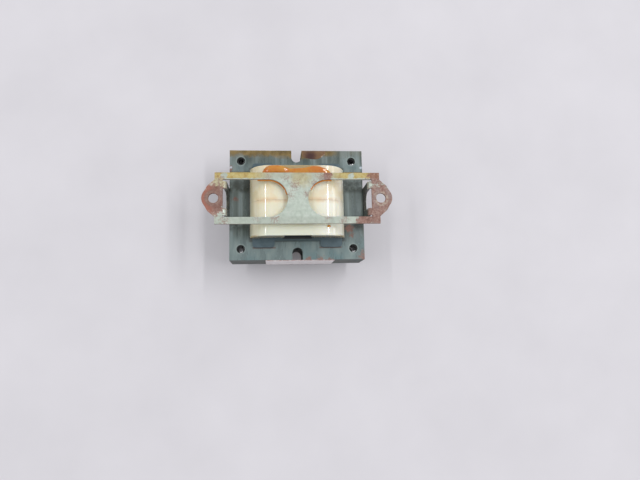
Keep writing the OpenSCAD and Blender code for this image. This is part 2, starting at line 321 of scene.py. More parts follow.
# %% Floor finish
floor_card, tree, shader = new_finish("floor_card", 0.85)
cloud = noise(tree, 40, 3)
card_tone = ramp(tree, cloud, (0.3, tone(206, 204, 208)), (0.7, tone(212, 210, 214)))
put(tree, shader.inputs["Base Color"], card_tone)
floor_mesh.materials.append(floor_card)
print("floor tones set")

# %% [markdown]
# ## Finish of the core sheets
# Transformer steel is blued by its annealing: a cold grey with a green cast. The pile was dipped in
# varnish, which dried as a yellow-brown band along the rear edge, and damp has started rust at one
# corner and between the sheets. The sides of the pile show the sheared edges, which are browner.

# %% Core sheet finish
core_low, core_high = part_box("e_lamination_stack")
FACE_Z = core_high.z / MM
CORE_HALF_X = core_high.x / MM
CORE_HALF_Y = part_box("i_lamination_stack")[1].y / MM
TAB_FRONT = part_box("bobbin")[0].y / MM
HOLE_INSET = 4.75
HOLES = [(side * (CORE_HALF_X - HOLE_INSET), end * (CORE_HALF_Y - HOLE_INSET))
         for side in (-1, 1) for end in (-1, 1)]


def upward(tree):
    """How far a surface faces up or down: 1 on the faces of the pile and 0 on its sides."""
    facing = tree.nodes.new("ShaderNodeNewGeometry").outputs["Normal"]
    split = tree.nodes.new("ShaderNodeSeparateXYZ")
    tree.links.new(facing, split.inputs[0])
    steep = maths(tree, "ABSOLUTE", split.outputs["Z"])
    return grade(tree, steep, 0.4, 0.8)


def core_sheet_finish():
    material, tree, shader = new_finish("blued_core_sheet", 0.36, metallic=0.2)
    flat = upward(tree)
    streaks = noise(tree, 3.5, 5, 0.6, stretch=(1, 0.22, 1))
    face = ramp(tree, streaks, (0.3, tone(94, 108, 108)), (0.52, tone(113, 128, 127)),
                (0.72, tone(134, 146, 142)))
    cast = noise(tree, 9, 3, seed=3)
    face = mix(tree, grade(tree, cast, 0.45, 0.7), face, tone(98, 120, 122))
    # the long legs and the rear are browner, where the film of varnish is thicker
    legs = times(tree, fade_across(tree, "X", 18.0, 21.0), fade_across(tree, "Y", 17.0, 12.0))
    legs = either(tree, legs, fade_along(tree, "Y", 14.0, 20.0))
    bands = noise(tree, 2.4, 2, 0.5, stretch=(1, 0.04, 1), seed=17)
    leg_tone = ramp(tree, bands, (0.38, tone(70, 80, 75)), (0.5, tone(98, 108, 103)),
                    (0.62, tone(126, 138, 137)))
    face = tint(tree, face, legs, 0.85, leg_tone)
    # painted reflection of the bracket's rails: dark patchy bands on the legs beside them
    patchy = grade(tree, noise(tree, 3, 3, seed=20), 0.3, 0.55)
    rail_reflection = times(tree, fade_across(tree, "Y", 4.2, 6.6), fade_across(tree, "Y", 12.4, 9.4),
                      fade_across(tree, "X", 18.0, 20.0), patchy)
    face = tint(tree, face, rail_reflection, 0.8, tone(52, 56, 50))
    # pale ring that the riveting tool pressed round each hole
    for hole_x, hole_y in HOLES:
        pressed = grade(tree, distance_from(tree, (hole_x, hole_y, 0), flat=True), 2.35, 2.0)
        face = tint(tree, face, pressed, 0.45, tone(150, 164, 160))
    # pale scuffs and dark grains of baked dirt
    scuffs = grade(tree, noise(tree, 0.9, 6, 0.7, stretch=(1, 0.5, 1), seed=18), 0.6, 0.7)
    face = tint(tree, face, scuffs, 0.35, tone(150, 160, 158))
    grains = grade(tree, noise(tree, 0.5, 4, 0.7, seed=19), 0.36, 0.3)
    face = tint(tree, face, grains, 0.5, tone(58, 62, 60))
    # sheared edges of the sheets, browner and darker
    grime = noise(tree, 1.8, 6, 0.65, stretch=(1, 1, 2.5), seed=5)
    side = ramp(tree, grime, (0.3, tone(58, 54, 50)), (0.55, tone(88, 82, 78)),
                (0.75, tone(116, 104, 92)))
    colour = mix(tree, flat, side, face)
    # ragged band of varnish along the rear edge, wider by the notch and gone at the right end
    ragged = maths(tree, "MULTIPLY", noise(tree, 3, 7, 0.7, seed=8), 5.0, clamp=False)
    wider = maths(tree, "MULTIPLY", fade_across(tree, "X", 11.0, 3.0), 1.1, clamp=False)
    into = maths(tree, "SUBTRACT", along(tree, "Y"), ragged, clamp=False)
    into = maths(tree, "ADD", into, wider, clamp=False)
    band = grade(tree, into, CORE_HALF_Y - 5.9, CORE_HALF_Y - 3.7)
    right_end = fade_along(tree, "X", 14.0, 19.0)
    band = times(tree, band, mix_values(tree, right_end, 0.92, 0.15))
    dribbles = grade(tree, noise(tree, 5, 4, stretch=(1, 1, 0.3), seed=11), 0.5, 0.66)
    band = times(tree, band, mix_values(tree, flat, times(tree, dribbles, 0.4), 1.0))
    varnish = ramp(tree, noise(tree, 2.5, 4, seed=9), (0.32, tone(98, 78, 38)),
                   (0.5, tone(124, 103, 56)), (0.68, tone(146, 122, 78)))
    colour = mix(tree, band, colour, varnish)
    # rust at the front right corner, along the right leg, by the yoke plate, and in freckles
    rust_at = ((CORE_HALF_X, -CORE_HALF_Y + 1.0, 5.0), (CORE_HALF_X - 6.5, -10.4, 4.2),
               (CORE_HALF_X - 5.5, -13.5, 2.4), (-CORE_HALF_X + 2.5, 2.5, 2.2),
               (4.5, -CORE_HALF_Y, 3.2), (9.5, -CORE_HALF_Y, 3.0), (14.0, -CORE_HALF_Y, 2.4),
               (-CORE_HALF_X, 15.5, 3.0))
    rust = spread(tree, rust_at, FACE_Z, 0.9, 12, 0.26)
    rust_tone = ramp(tree, noise(tree, 0.7, 5, 0.7, seed=6), (0.3, tone(104, 62, 48)),
                     (0.7, tone(150, 106, 92)))
    colour = tint(tree, colour, rust, 0.75, rust_tone)
    # painted glints, small and bright, at the rear ends of the legs
    for side, seed in ((-1, 15), (1, 16)):
        painted_glint = patch(tree, (side * (CORE_HALF_X - 0.6), 16.2, FACE_Z), 0.5, 0.8, 0.3, seed)
        colour = tint(tree, colour, painted_glint, 0.7, tone(196, 206, 218))
    # painted shade: a dark line on the sheets where the bobbin's feet and the cover meet them
    contact_shade = times(tree, fade_across(tree, "X", 20.8, 20.0), fade_across(tree, "Y", 16.4, 15.7), flat)
    colour = tint(tree, colour, contact_shade, 0.55, tone(44, 42, 38))
    # painted shadow: a thin red-brown line on the sheets along the front of the bobbin's two tabs
    tab_shadow = times(tree, fade_along(tree, "Y", TAB_FRONT - 0.55, TAB_FRONT - 0.2),
                     fade_along(tree, "Y", TAB_FRONT + 0.4, TAB_FRONT + 0.1),
                     fade_across(tree, "X", 8.9, 9.4), fade_across(tree, "X", 19.2, 18.4))
    colour = tint(tree, colour, tab_shadow, 0.65, tone(92, 58, 48))
    put(tree, shader.inputs["Base Color"], colour)
    wet = mix_values(tree, band, grade(tree, streaks, 0.2, 0.9), 0.0)
    wet = mix_values(tree, rust, wet, 1.0)
    put(tree, shader.inputs["Roughness"], mix_values(tree, flat, 0.7, mix_values(tree, wet, 0.2, 0.44)))
    bump(tree, shader, noise(tree, 0.35, 6, 0.65, stretch=(1, 0.3, 1), seed=14), 0.012)
    return material


core_sheet = core_sheet_finish()
print("core face at", FACE_Z, "mm")

# %% [markdown]
# ## Finish of the bracket
# The bracket is cut from zinc-coated sheet. Where the zinc is whole it is a pale grey-green with a
# soft mottle. It has run out along cut edges and at the screw ears, where rust has come through and
# a washer has left a paler ring. Varnish that ran down from the coil dyes the rear rail yellow.

# %% Bracket finish
bracket_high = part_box("mounting_bracket")[1]
PLATE_Z = bracket_high.z / MM
PLATE_HALF_Y = bracket_high.y / MM
ear_holes = next(m for m in frame["record"]["mounts"] if m["name"] == "ear_holes")
EAR_X = ear_holes["dims"]["spacing_x_mm"] / 2


def bracket_finish():
    material, tree, shader = new_finish("zinc_sheet_with_rust", 0.45, metallic=0.4)
    mottle = noise(tree, 1.6, 5, 0.6)
    colour = ramp(tree, mottle, (0.3, tone(160, 172, 159)), (0.5, tone(182, 193, 180)),
                  (0.7, tone(202, 209, 200)))
    spangle = tree.nodes.new("ShaderNodeTexVoronoi")
    spangle.inputs["Scale"].default_value = PER_MM / 1.3
    tree.links.new(places(tree), spangle.inputs["Vector"])
    spangle_tone = ramp(tree, spangle.outputs["Distance"], (0.0, tone(196, 207, 195)),
                        (0.8, tone(168, 178, 168)))
    colour = mix(tree, 0.35, colour, spangle_tone)
    # handling greyed the two rails
    rails = fade_across(tree, "Y", 6.8, 8.4)
    colour = tint(tree, colour, rails, 0.2, tone(130, 132, 118))
    # yellow varnish film on the rear rail, with two bare spots
    ragged = maths(tree, "MULTIPLY", noise(tree, 2.0, 4, seed=21), 1.6, clamp=False)
    into = maths(tree, "SUBTRACT", along(tree, "Y"), ragged, clamp=False)
    film = grade(tree, into, PLATE_HALF_Y - 3.4, PLATE_HALF_Y - 2.9)
    outward = fade_across(tree, "X", 9.0, 19.0)
    web_film = patch(tree, (1.0, PLATE_HALF_Y - 1.6, PLATE_Z), 4.0, 1.0, 0.5, seed=25)
    ear_film = patch(tree, (-EAR_X + 2.2, 6.6, PLATE_Z), 3.0, 0.8, 0.4, seed=26)
    film = times(tree, film, mix_values(tree, outward, 0.12, 1.0))
    film = either(tree, film, times(tree, web_film, 0.55), times(tree, ear_film, 0.6))
    for spot_x, wide, seed in ((-29.6, 1.3, 22), (21.9, 1.3, 23)):
        bare = patch(tree, (spot_x, PLATE_HALF_Y - 1.4, PLATE_Z), wide, 1.3, 0.25, seed)
        film = times(tree, film, mix_values(tree, bare, 1.0, 0.0))
    film_drift = noise(tree, 1.1, 6, 0.7, seed=24)
    film_tone = ramp(tree, film_drift, (0.3, tone(140, 98, 34)), (0.46, tone(176, 150, 72)),
                     (0.68, tone(196, 184, 124)))
    colour = tint(tree, colour, film, 0.88, film_tone)
    # sheared edges lost their zinc and went brown
    sheared = maths(tree, "SUBTRACT", 1.0, upward(tree))
    sheared = times(tree, sheared, fade_along(tree, "Z", PLATE_Z - 1.3, PLATE_Z - 1.1))
    colour = tint(tree, colour, sheared, 0.7, tone(128, 96, 84))
    # rust: the ears, patches on the web and the rails, the openings' edges, and fine freckles
    heavy_at = ((-EAR_X - 0.4, -0.4, 10.5), (EAR_X, -0.5, 10.5), (EAR_X - 2.0, -7.0, 8.0),
                (EAR_X - 7.0, -9.4, 5.4), (EAR_X - 1.5, 9.0, 6.0), (12.0, 9.4, 3.4))
    light_at = ((9.6, 8.6, 5.5), (-8.4, -5.6, 3.2), (-16.5, -8.6, 2.8), (-9.5, -8.6, 4.0),
                (-1.2, 5.4, 5.0), (3.4, 1.6, 4.0), (-3.0, 1.0, 4.0), (12.0, -8.6, 3.2),
                (18.5, -8.8, 4.2), (-29.5, -9.4, 5.0), (-31.5, 8.0, 4.4), (6.5, 6.0, 4.4),
                (-12.0, 8.6, 2.8), (-5.0, 8.4, 3.4))
    heavy = spread(tree, heavy_at, PLATE_Z, 1.1, 33, 0.48)
    light = spread(tree, light_at, PLATE_Z, 0.6, 30, 0.19)
    sown = times(tree, grade(tree, noise(tree, 0.45, 5, 0.75, seed=31), 0.6, 0.7),
                 grade(tree, noise(tree, 5, 3, seed=32), 0.44, 0.6))
    rust = either(tree, heavy, times(tree, light, 0.75), times(tree, sown, 0.6))
    rust_drift = noise(tree, 0.8, 7, 0.8, seed=35)
    rust_tone = ramp(tree, rust_drift, (0.34, tone(88, 48, 38)), (0.46, tone(126, 84, 72)),
                     (0.56, tone(148, 112, 102)), (0.68, tone(196, 176, 166)))
    cool = grade(tree, noise(tree, 3.0, 3, seed=27), 0.5, 0.65)
    rust_tone = tint(tree, rust_tone, cool, 0.45, tone(138, 122, 122))
    colour = tint(tree, colour, rust, 0.9, rust_tone)
    # the left ear's rust is darker than the rest
    from_left = distance_from(tree, (-EAR_X, 0, PLATE_Z), flat=True)
    left_ear = times(tree, grade(tree, from_left, 6.5, 4.0), rust)
    colour = tint(tree, colour, left_ear, 0.45, tone(104, 66, 56))
    # redder, brighter rust round the rim of the left ear
    rim = times(tree, grade(tree, from_left, 2.9, 4.0),
                fade_along(tree, "X", -EAR_X + 1.5, -EAR_X - 2.5))
    colour = tint(tree, colour, rim, 0.5, tone(170, 104, 84))
    # pale ring that a washer left round the right hole, and a trace of one round the left one
    for side, share, seed in ((1, 0.75, 36), (-1, 0.15, 28)):
        from_hole = distance_from(tree, (side * EAR_X, 0, PLATE_Z), flat=True)
        ring = times(tree, grade(tree, from_hole, 1.9, 2.2), grade(tree, from_hole, 3.6, 2.8))
        ring = times(tree, ring, grade(tree, noise(tree, 1.5, 4, seed=seed), 0.42, 0.56))
        colour = tint(tree, colour, ring, share, tone(178, 166, 150))
    # painted shade on the tongues below the plate: near black, darkest on their faces towards the core,
    # where the dark core is reflected
    tongue_shade = fade_along(tree, "Z", PLATE_Z - 1.5, PLATE_Z - 2.4)
    tongue_shade_tone = ramp(tree, noise(tree, 1.2, 5, 0.7, seed=29), (0.3, tone(16, 15, 12)),
                       (0.52, tone(38, 36, 29)), (0.72, tone(84, 80, 64)))
    inner_side = fade_across(tree, "X", CORE_HALF_X + 1.2, CORE_HALF_X + 1.0)
    tongue_shade = times(tree, tongue_shade, mix_values(tree, inner_side, 0.35, 0.95))
    colour = mix(tree, tongue_shade, colour, tongue_shade_tone)
    put(tree, shader.inputs["Base Color"], colour)
    dull = either(tree, rust, film, tongue_shade)
    put(tree, shader.inputs["Metallic"], mix_values(tree, dull, 0.3, 0.0))
    sheen = mix_values(tree, film, 0.36, 0.22)
    put(tree, shader.inputs["Roughness"], mix_values(tree, rust, sheen, 0.82))
    grain = times(tree, noise(tree, 0.3, 5, seed=37), 0.4)
    bump(tree, shader, maths(tree, "ADD", times(tree, rust, 0.6), grain), 0.05)
    return material


bracket_zinc = bracket_finish()
print("plate at", round(PLATE_Z, 2), "mm, ears at", EAR_X, "mm from the middle")

# %% [markdown]
# ## Finish of the cover
# The cover is moulded in a cream plastic that lets a little light in, so the shader scatters light
# under the surface. It has yellowed towards the sides, and its right side carries painted light.
# Varnish crept into the joint between its two halves and stained it tan, and the lower part of the
# front end is tan as well.

# %% Cover finish
cover_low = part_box("coil_cover_front")[0] / MM
cover_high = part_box("coil_cover_rear")[1] / MM
AXIS_Z = (cover_low.z + cover_high.z) / 2


def cover_finish():
    material, tree, shader = new_finish("cream_moulding", 0.1, coat=0.8)
    shader.inputs["Coat Roughness"].default_value = 0.05
    shader.inputs["Subsurface Weight"].default_value = 0.3
    shader.inputs["Subsurface Radius"].default_value = (1.0, 0.8, 0.5)
    shader.inputs["Subsurface Scale"].default_value = 1.5 * MM
    cloud = noise(tree, 6, 4, seed=41)
    colour = ramp(tree, cloud, (0.3, tone(228, 222, 192)), (0.7, tone(234, 232, 211)))
    # paler and greener towards the front, yellower at the back and under the bracket
    forward = fade_along(tree, "Y", -8.0, -14.0)
    colour = tint(tree, colour, forward, 0.8, tone(212, 219, 202))
    # painted light: paler towards the right, the side that faces the brighter lamps
    painted_right_light = times(tree, fade_along(tree, "X", 5.0, 12.0), 0.7)
    colour = mix(tree, painted_right_light, colour, tone(240, 240, 226))
    warm = times(tree, grade(tree, noise(tree, 5, 3, seed=46), 0.4, 0.6),
                 fade_along(tree, "Y", -4.0, 3.0))
    colour = tint(tree, colour, warm, 0.45, tone(228, 204, 158))
    # draw lines from the mould along both shoulders
    sides = fade_across(tree, "X", 11.0, 19.0)
    leftward = fade_along(tree, "X", 14.0, -16.0)
    lines = noise(tree, 0.55, 3, 0.6, stretch=(1, 0.03, 0.03), seed=45)
    aged = times(tree, sides, mix_values(tree, leftward, 0.12, 0.55),
                 ramp(tree, lines, (0.35, 1.0), (0.65, 0.6)))
    colour = mix(tree, aged, colour, tone(204, 194, 150))
    # the stained joint, fading away from it
    wobble = times(tree, noise(tree, 2.5, 3, seed=42), 0.9)
    from_joint = maths(tree, "ADD", across(tree, "Y"), wobble, clamp=False)
    uneven = grade(tree, noise(tree, 5, 3, seed=43), 0.34, 0.56)
    stain = times(tree, grade(tree, from_joint, 2.3, 0.5), uneven, fade_across(tree, "X", 19.0, 15.0))
    colour = tint(tree, colour, stain, 0.5, tone(226, 176, 112))
    # tan edge of the front end, above the bobbin's foot
    front = times(tree, fade_along(tree, "Y", cover_low.y + 0.9, cover_low.y + 0.15),
                  fade_along(tree, "Z", FACE_Z + 8.8, FACE_Z + 5.5))
    tan = ramp(tree, noise(tree, 1.6, 4, seed=47), (0.3, tone(126, 100, 48)),
               (0.7, tone(178, 156, 104)))
    colour = tint(tree, colour, front, 0.9, tan)
    # varnish stain under the bead along the rear edge
    rear = fade_along(tree, "Y", cover_high.y - 4.4, cover_high.y - 2.4)
    middle = times(tree, fade_along(tree, "X", 12.0, 6.0), fade_along(tree, "X", -14.0, -8.0))
    rear = times(tree, rear, mix_values(tree, middle, 0.12, 0.85))
    colour = mix(tree, rear, colour, tone(152, 128, 76))
    put(tree, shader.inputs["Base Color"], colour)
    bump(tree, shader, noise(tree, 1.2, 3, 0.5, stretch=(1, 0.1, 1), seed=44), 0.006, 0.4)
    return material


cover_cream = cover_finish()
print("cover from", [round(v, 1) for v in cover_low], "to", [round(v, 1) for v in cover_high])

# %% [markdown]
# ## Finishes of the smaller pieces
# The bobbin is a satin slate-blue moulding. Set varnish is amber, and nearly black in the deep pool.
# Enamelled wire, varnished paper, cloth tape, zinc plating, tinned brass, the rivets' dark steel and
# the brown socket moulding finish the set.

# %% Smaller finishes
TURN_PITCH = 0.72
WAVE_RATE = 20  # a wave texture of scale 1 turns this many radians in one unit
POOL_CENTRE = (6.9, CORE_HALF_Y - 0.9, FACE_Z)
POOL_DEEPEST = (6.0, CORE_HALF_Y - 2.6, FACE_Z)
POOL_LEFT = 2.45


def bobbin_finish():
    material, tree, shader = new_finish("slate_blue_moulding", 0.42)
    cloud = noise(tree, 2.2, 5, 0.6, seed=51)
    colour = ramp(tree, cloud, (0.3, tone(56, 76, 84)), (0.7, tone(74, 94, 102)))
    dust = grade(tree, noise(tree, 0.8, 5, 0.7, seed=52), 0.55, 0.7)
    colour = tint(tree, colour, dust, 0.3, tone(126, 134, 134))
    # painted shade on the low side faces of the feet
    foot_side_shade = maths(tree, "SUBTRACT", 1.0, upward(tree))
    foot_side_shade = times(tree, foot_side_shade, fade_along(tree, "Z", FACE_Z + 1.6, FACE_Z + 1.2))
    colour = tint(tree, colour, foot_side_shade, 0.6, tone(34, 38, 48))
    # both flanges are greyer between the feet, the front one greener
    ahead = times(tree, fade_along(tree, "Y", -12.0, -14.0), fade_across(tree, "X", 9.8, 8.6))
    colour = tint(tree, colour, ahead, 0.6, tone(66, 84, 84))
    behind = times(tree, fade_along(tree, "Y", 12.0, 14.0), fade_across(tree, "X", 9.8, 8.6))
    colour = tint(tree, colour, behind, 0.8, tone(104, 118, 124))
    # painted shade: the sill of the lead window, inside the cover, is near black
    window_shade = times(tree, fade_across(tree, "X", 6.4, 6.0), fade_along(tree, "Y", -15.2, -14.8),
                 fade_along(tree, "Y", -10.0, -11.0))
    colour = tint(tree, colour, window_shade, 0.85, tone(26, 25, 26))
    put(tree, shader.inputs["Base Color"], colour)
    bump(tree, shader, noise(tree, 0.3, 4, seed=53), 0.02)
    return material


def amber_finish():
    """Set varnish. Its tone goes from thin to thick in drifts, and it is glossy all over."""
    material, tree, shader = new_finish("amber_varnish", 0.12, coat=0.6)
    shader.inputs["Transmission Weight"].default_value = 0.2
    shader.inputs["IOR"].default_value = 1.52
    drift = noise(tree, 3.5, 4, 0.55, seed=61, warp=0.6)
    colour = ramp(tree, drift, (0.32, tone(208, 110, 18)), (0.66, tone(214, 152, 48)))
    put(tree, shader.inputs["Base Color"], colour)
    bump(tree, shader, noise(tree, 1.4, 3, seed=62), 0.05)
    return material


def pool_finish():
    """The pool's varnish: nearly black where it is deepest, thin and brown at its edge."""
    material, tree, shader = new_finish("dark_varnish", 0.14, coat=0.5)
    deep = grade(tree, distance_from(tree, POOL_DEEPEST, flat=True), 4.2, 0.6)
    drift = noise(tree, 1.6, 4, 0.6, seed=63)
    edge = ramp(tree, drift, (0.32, tone(104, 70, 42)), (0.66, tone(124, 96, 62)))
    put(tree, shader.inputs["Base Color"], mix(tree, deep, edge, tone(62, 26, 20)))
    bump(tree, shader, noise(tree, 1.4, 3, seed=64), 0.04)
    return material


def wire_finish():
    """Enamelled copper, wound side by side, so that the turns show as fine ridges across the coil."""
    material, tree, shader = new_finish("enamelled_copper_wire", 0.28, metallic=0.75, coat=0.4)
    turns = tree.nodes.new("ShaderNodeTexWave")
    turns.bands_direction = "Y"
    turns.inputs["Scale"].default_value = PER_MM * math.tau / WAVE_RATE / TURN_PITCH
    turns.inputs["Distortion"].default_value = 0.4
    tree.links.new(places(tree), turns.inputs["Vector"])
    # painted shade in the grooves between the turns, lighter on their crests
    turn_shading = ramp(tree, turns.outputs["Fac"], (0.0, tone(84, 38, 20)), (0.6, tone(176, 92, 48)))
    cloud = noise(tree, 4, 3, seed=71)
    colour = mix(tree, grade(tree, cloud, 0.4, 0.8), turn_shading, tone(120, 52, 24))
    put(tree, shader.inputs["Base Color"], colour)
    bump(tree, shader, turns.outputs["Fac"], 0.1)
    return material


def paper_finish(name, pale, dark, fibre_mm):
    """Varnished paper or tape: fine fibres, and a slanted weave about twice as coarse."""
    material, tree, shader = new_finish(name, 0.6, coat=0.2)
    fibre = noise(tree, fibre_mm, 5, 0.6, stretch=(0.4, 1, 0.4), seed=81)
    put(tree, shader.inputs["Base Color"], ramp(tree, fibre, (0.3, dark), (0.7, pale)))
    weave = tree.nodes.new("ShaderNodeTexWave")
    weave.bands_direction = "DIAGONAL"
    weave.inputs["Scale"].default_value = PER_MM / fibre_mm / 6
    tree.links.new(places(tree), weave.inputs["Vector"])
    bump(tree, shader, weave.outputs["Fac"], 0.03)
    return material


def metal_finish(name, bright, dull, roughness, seed):
    """Plated or tinned metal with a dull bloom and a few rust specks."""
    material, tree, shader = new_finish(name, roughness, metallic=0.35)
    bloom = noise(tree, 1.4, 5, 0.6, seed=seed)
    colour = ramp(tree, bloom, (0.3, dull), (0.7, bright))
    specks = grade(tree, noise(tree, 0.9, 6, 0.7, seed=seed + 1), 0.66, 0.74)
    colour = tint(tree, colour, specks, 0.8, tone(138, 96, 84))
    put(tree, shader.inputs["Base Color"], colour)
    sheen = mix_values(tree, bloom, roughness + 0.1, roughness)
    put(tree, shader.inputs["Roughness"], mix_values(tree, specks, sheen, 0.75))
    bump(tree, shader, noise(tree, 0.3, 5, seed=seed + 2), 0.015)
    return material


def plate_finish():
    """Zinc plating, faintly brushed along X, with rust creeping in from its two long edges."""
    material, tree, shader = new_finish("zinc_plate", 0.34, metallic=0.2)
    bloom = noise(tree, 2.4, 5, 0.6, seed=94)
    colour = ramp(tree, bloom, (0.3, tone(210, 203, 202)), (0.7, tone(232, 228, 229)))
    brushed = grade(tree, noise(tree, 0.5, 4, 0.6, stretch=(0.06, 1, 1), seed=95), 0.5, 0.7)
    colour = tint(tree, colour, brushed, 0.4, tone(184, 178, 178))
    upper = fade_along(tree, "Z", FACE_Z - 2.6, FACE_Z)
    lower = fade_along(tree, "Z", core_low.z / MM + 1.6, core_low.z / MM)
    damp = times(tree, either(tree, upper, lower), 0.19)
    rust = grade(tree, maths(tree, "ADD", damp, noise(tree, 1.0, 7, 0.7, seed=96)), 0.6, 0.76)
    colour = tint(tree, colour, rust, 0.7, tone(160, 112, 104))
    put(tree, shader.inputs["Base Color"], colour)
    put(tree, shader.inputs["Roughness"], mix_values(tree, rust, 0.34, 0.8))
    bump(tree, shader, maths(tree, "ADD", brushed, times(tree, rust, 0.5)), 0.015)
    return material


def rivet_finish():
    """Rivets in a dark steel tone, with a painted glint on three of the four."""
    material, tree, shader = new_finish("rivet_steel", 0.3, metallic=0.5)
    colour = ramp(tree, noise(tree, 0.8, 5, 0.6, seed=107), (0.3, tone(30, 30, 31)),
                  (0.7, tone(74, 76, 76)))
    # painted glints where the rolled ends catch the lamps
    for (hole_x, hole_y), seed in zip(HOLES[:1] + HOLES[2:], (108, 109, 110)):
        painted_glint = patch(tree, (hole_x + 0.2, hole_y - 1.1, FACE_Z - 0.6), 0.7, 0.5, 0.2, seed)
        colour = mix(tree, painted_glint, colour, tone(214, 218, 220))
    put(tree, shader.inputs["Base Color"], colour)
    bump(tree, shader, noise(tree, 0.3, 5, seed=111), 0.015)
    return material


def socket_finish():
    material, tree, shader = new_finish("brown_phenolic", 0.35)
    cloud = noise(tree, 1.5, 5, 0.65, seed=91)
    colour = ramp(tree, cloud, (0.3, tone(58, 38, 30)), (0.7, tone(86, 56, 42)))
    put(tree, shader.inputs["Base Color"], colour)
    bump(tree, shader, noise(tree, 0.4, 4, seed=92), 0.02)
    return material


bobbin_blue = bobbin_finish()
amber_varnish = amber_finish()
dark_varnish = pool_finish()
copper_wire = wire_finish()
plain_paper = paper_finish("varnished_paper", tone(196, 166, 116), tone(158, 122, 74), 0.6)
cloth_tape = paper_finish("varnished_cloth_tape", tone(96, 80, 50), tone(56, 44, 30), 0.5)
zinc_plate = plate_finish()
bright_zinc = metal_finish("bright_zinc", tone(226, 222, 222), tone(196, 188, 186), 0.3, 101)
tinned_brass = metal_finish("tinned_brass", tone(214, 196, 150), tone(176, 150, 100), 0.28, 104)
rivet_steel = rivet_finish()
brown_socket = socket_finish()
print(len(bpy.data.materials), "finishes")

# %% [markdown]
# ## Tools for pieces
# Most pieces start from the CAD node that they stand for. A node's mesh is loose triangles, so a
# copy is merged, its flat faces are joined up, and its sharp edges are given a small round, because
# no stamped or moulded edge is perfectly sharp. The new piece then stands for the node.

# %% Tools for pieces


def from_node(name):
    """A copy of a CAD node's mesh with its corners merged and its flat faces joined."""
    bm = bmesh.new()
    bm.from_mesh(frame["nodes"][name].data)
    bmesh.ops.remove_doubles(bm, verts=bm.verts, dist=1e-6)
    bmesh.ops.dissolve_limit(bm, angle_limit=math.radians(0.5), verts=bm.verts, edges=bm.edges)
    bmesh.ops.triangulate(bm, faces=[f for f in bm.faces if len(f.verts) > 4])
    return bm


def is_sharp(edge, degrees=32):
    return len(edge.link_faces) == 2 and edge.calc_face_angle(0) > math.radians(degrees)


def round_edges(bm, radius_mm, segments=2, chosen=None):
    """Rounds the sharp edges, or only the chosen ones."""
    edges = [e for e in bm.edges if is_sharp(e) and (chosen is None or chosen(e))]
    bmesh.ops.bevel(bm, geom=edges, offset=radius_mm * MM, offset_type="OFFSET", segments=segments,
                    profile=0.5, affect="EDGES", material=-1, clamp_overlap=True)
    return len(edges)


def make_piece(bm, name, finish, replaces=()):
    """Turns the bmesh into a piece that rides on the coil, shaded smooth up to its edges."""
    for face in bm.faces:
        face.smooth = True
    for edge in bm.edges:
        edge.smooth = not is_sharp(edge, 40)
    mesh = bpy.data.meshes.new(name)
    bm.to_mesh(mesh)
    bm.free()
    mesh.materials.append(finish)
    piece = bpy.data.objects.new(name, mesh)
    bpy.context.scene.collection.objects.link(piece)
    weights = piece.modifiers.new("even_shading", "WEIGHTED_NORMAL")
    weights.keep_sharp = True
    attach(piece, "root")
    if replaces:
        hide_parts(*replaces)
    low, high = (Vector(f(v.co[i] for v in mesh.vertices) for i in range(3)) / MM for f in (min, max))
    print(f"{name}: {len(mesh.polygons)} faces, {[round(v, 1) for v in high - low]} mm")
    return piece


# %% [markdown]
# ## Core sheets
# The core is a pile of thin sheets, and its sides show every one of them. Each sheet is the top face
# of the CAD stack, given a sheet's thickness and a chamfered edge. The sheets are piled with the
# small unevenness of a hand-filled core.

# %% Core sheets
SHEET_PITCH = 0.5
SHEET_T = 0.455
CHAMFER = 0.035
SLIP = 0.1
shuffle = random.Random(7)


def one_sheet(node):
    """A sheet cut from the top face of a stack, chamfered on both sides."""
    bm = from_node(node)
    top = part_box(node)[1].z
    rest = [f for f in bm.faces if f.normal.z < 0.9 or f.calc_center_median().z < top - 1e-5]
    bmesh.ops.delete(bm, geom=rest, context="FACES")
    grown = bmesh.ops.extrude_face_region(bm, geom=bm.faces[:])["geom"]
    lower = [v for v in grown if isinstance(v, bmesh.types.BMVert)]
    bmesh.ops.translate(bm, verts=lower, vec=(0, 0, -SHEET_T * MM))
    bmesh.ops.recalc_face_normals(bm, faces=bm.faces)
    for up in (1, -1):
        cap = [f for f in bm.faces if f.normal.z * up > 0.9]
        bmesh.ops.inset_region(bm, faces=cap, thickness=CHAMFER * MM, use_even_offset=True)
        rim = {v for f in cap for v in f.verts}
        edge_ring = [v for f in bm.faces if abs(f.normal.z) < 0.5 for v in f.verts]
        side = [v for v in set(edge_ring) - rim if (v.co.z - (top - SHEET_T * MM / 2)) * up > 0]
        bmesh.ops.translate(bm, verts=side, vec=(0, 0, -up * CHAMFER * MM))
    mesh = bpy.data.meshes.new("sheet")
    bm.to_mesh(mesh)
    bm.free()
    return mesh


def pile(node, name):
    """The whole pile, as one piece of separate sheets."""
    low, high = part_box(node)
    count = round((high.z - low.z) / MM / SHEET_PITCH)
    sheet = one_sheet(node)
    bm = bmesh.new()
    inward = -math.copysign(SLIP, low.y + high.y)
    for level in range(count):
        first = len(bm.verts)
        bm.from_mesh(sheet)
        bm.verts.ensure_lookup_table()
        slip = (0, 0)
        if level not in (0, count - 1):
            slip = (shuffle.uniform(-SLIP / 2, SLIP / 2), shuffle.uniform(0, inward))
        move = Vector((slip[0], slip[1], -level * SHEET_PITCH)) * MM
        bmesh.ops.translate(bm, verts=bm.verts[first:], vec=move)
    bpy.data.meshes.remove(sheet)
    print(count, "sheets in", name)
    return make_piece(bm, name, core_sheet, (node,))


pile("e_lamination_stack", "e_sheets")
pile("i_lamination_stack", "i_sheets")

